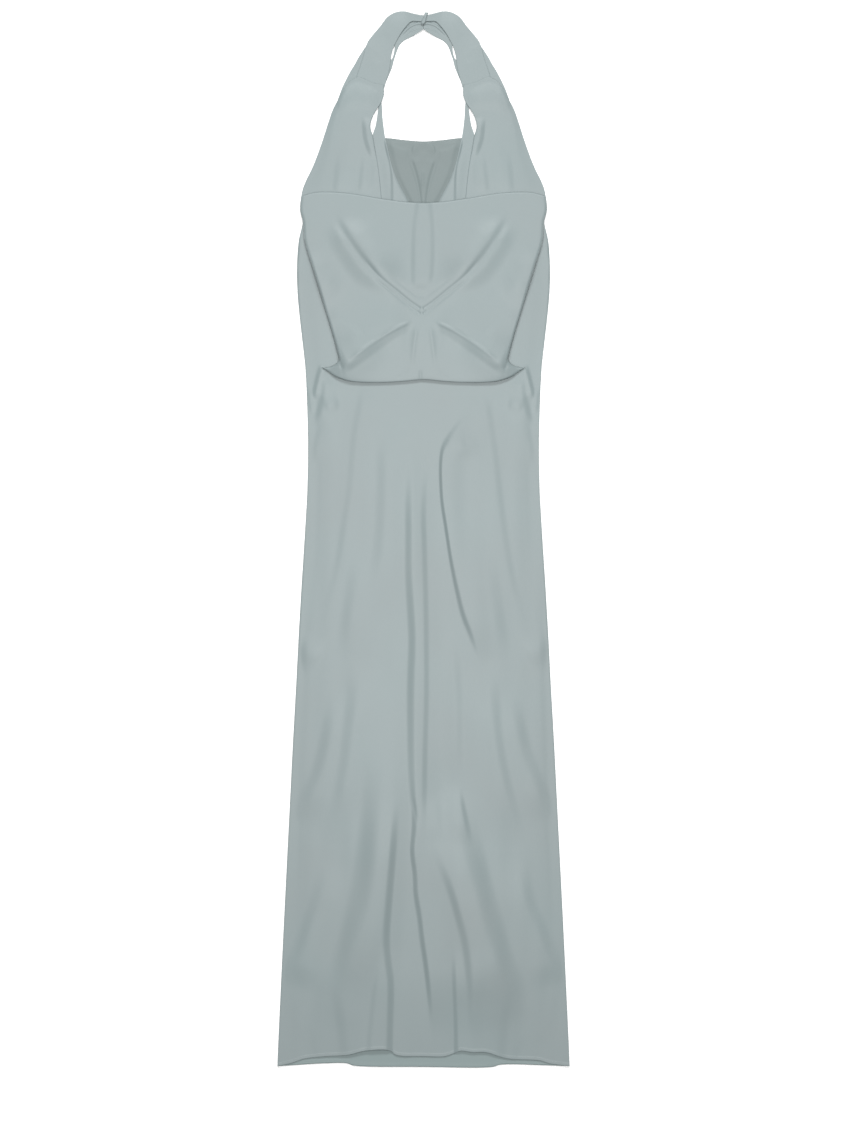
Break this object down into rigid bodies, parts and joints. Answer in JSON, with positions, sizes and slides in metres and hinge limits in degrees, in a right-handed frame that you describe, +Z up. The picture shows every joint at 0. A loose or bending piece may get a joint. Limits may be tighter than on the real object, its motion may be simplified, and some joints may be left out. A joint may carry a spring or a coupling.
{
  "type": "halter dress laid flat",
  "caption": "Full-length halter dress in plain satin, laid flat on its back: draped cowl front over the waist, gathered neck bands and a long flared skirt.",
  "frame": {"origin": "middle of the laid-out dress's bounding box, on the surface that it lies on", "axes": "+Y from hem to nape, +Z up out of the dress's front, +X to the right as it is seen from above"},
  "size_m": [0.409, 1.4785, 0.0144],
  "materials": {
    "satin": "grey-green satin, soft sheen",
    "satin_inside": "duller inside of the same satin"
  },
  "bodies": {
    "root": {"back_panel": "satin_inside", "front_panel": "satin", "cowl": "satin", "halter_left": "satin", "halter_right": "satin", "facing_left": "satin", "facing_right": "satin", "neck_band_left": "satin", "neck_band_right": "satin", "neck_under_left": "satin_inside", "neck_under_right": "satin_inside", "nape_loop": "satin"}
  },
  "joints": []
}
